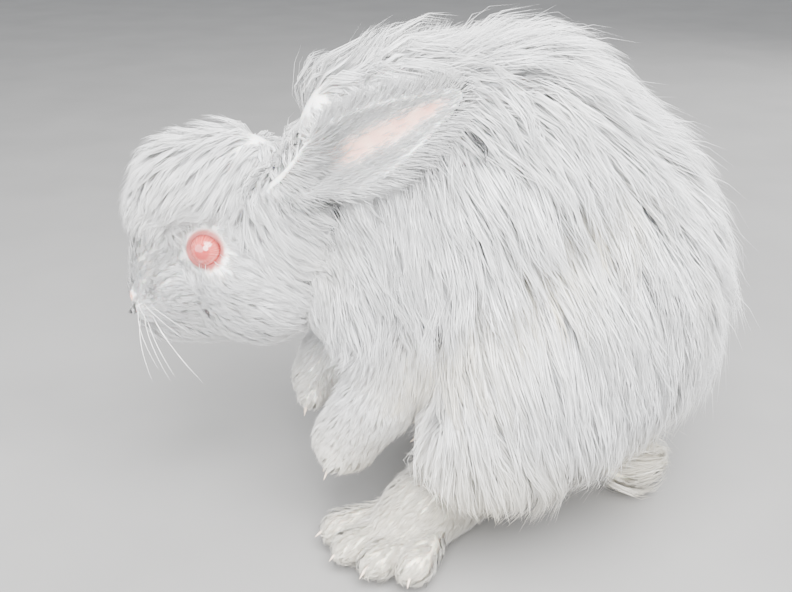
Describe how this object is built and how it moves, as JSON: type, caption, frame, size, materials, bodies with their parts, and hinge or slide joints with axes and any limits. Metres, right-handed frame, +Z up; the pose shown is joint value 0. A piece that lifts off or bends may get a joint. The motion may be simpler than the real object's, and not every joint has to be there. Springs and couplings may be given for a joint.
{
  "type": "angora rabbit",
  "caption": "Life-size still model of a long-haired white rabbit sitting up on its hind feet, forepaws lifted, ears laid back",
  "frame": {"origin": "Middle of the bounding box on the floor that the hind feet and tail rest on", "axes": "-X is the way the rabbit faces, -Y is its left side, +Z is up"},
  "size_m": [0.3354, 0.2277, 0.2723],
  "materials": {
    "wool": "matte",
    "ear_skin": "matte",
    "eye": "gloss"
  },
  "bodies": {
    "root": {"head": "wool", "neck": "wool", "torso": "wool", "rump": "wool", "tail": "wool", "thigh_left": "wool", "thigh_right": "wool", "hindfoot_left": "wool", "hindfoot_right": "wool", "foreleg_left": "wool", "foreleg_right": "wool", "ear_left": "ear_skin", "ear_right": "ear_skin", "eye_left": "eye", "eye_right": "eye"}
  },
  "joints": []
}
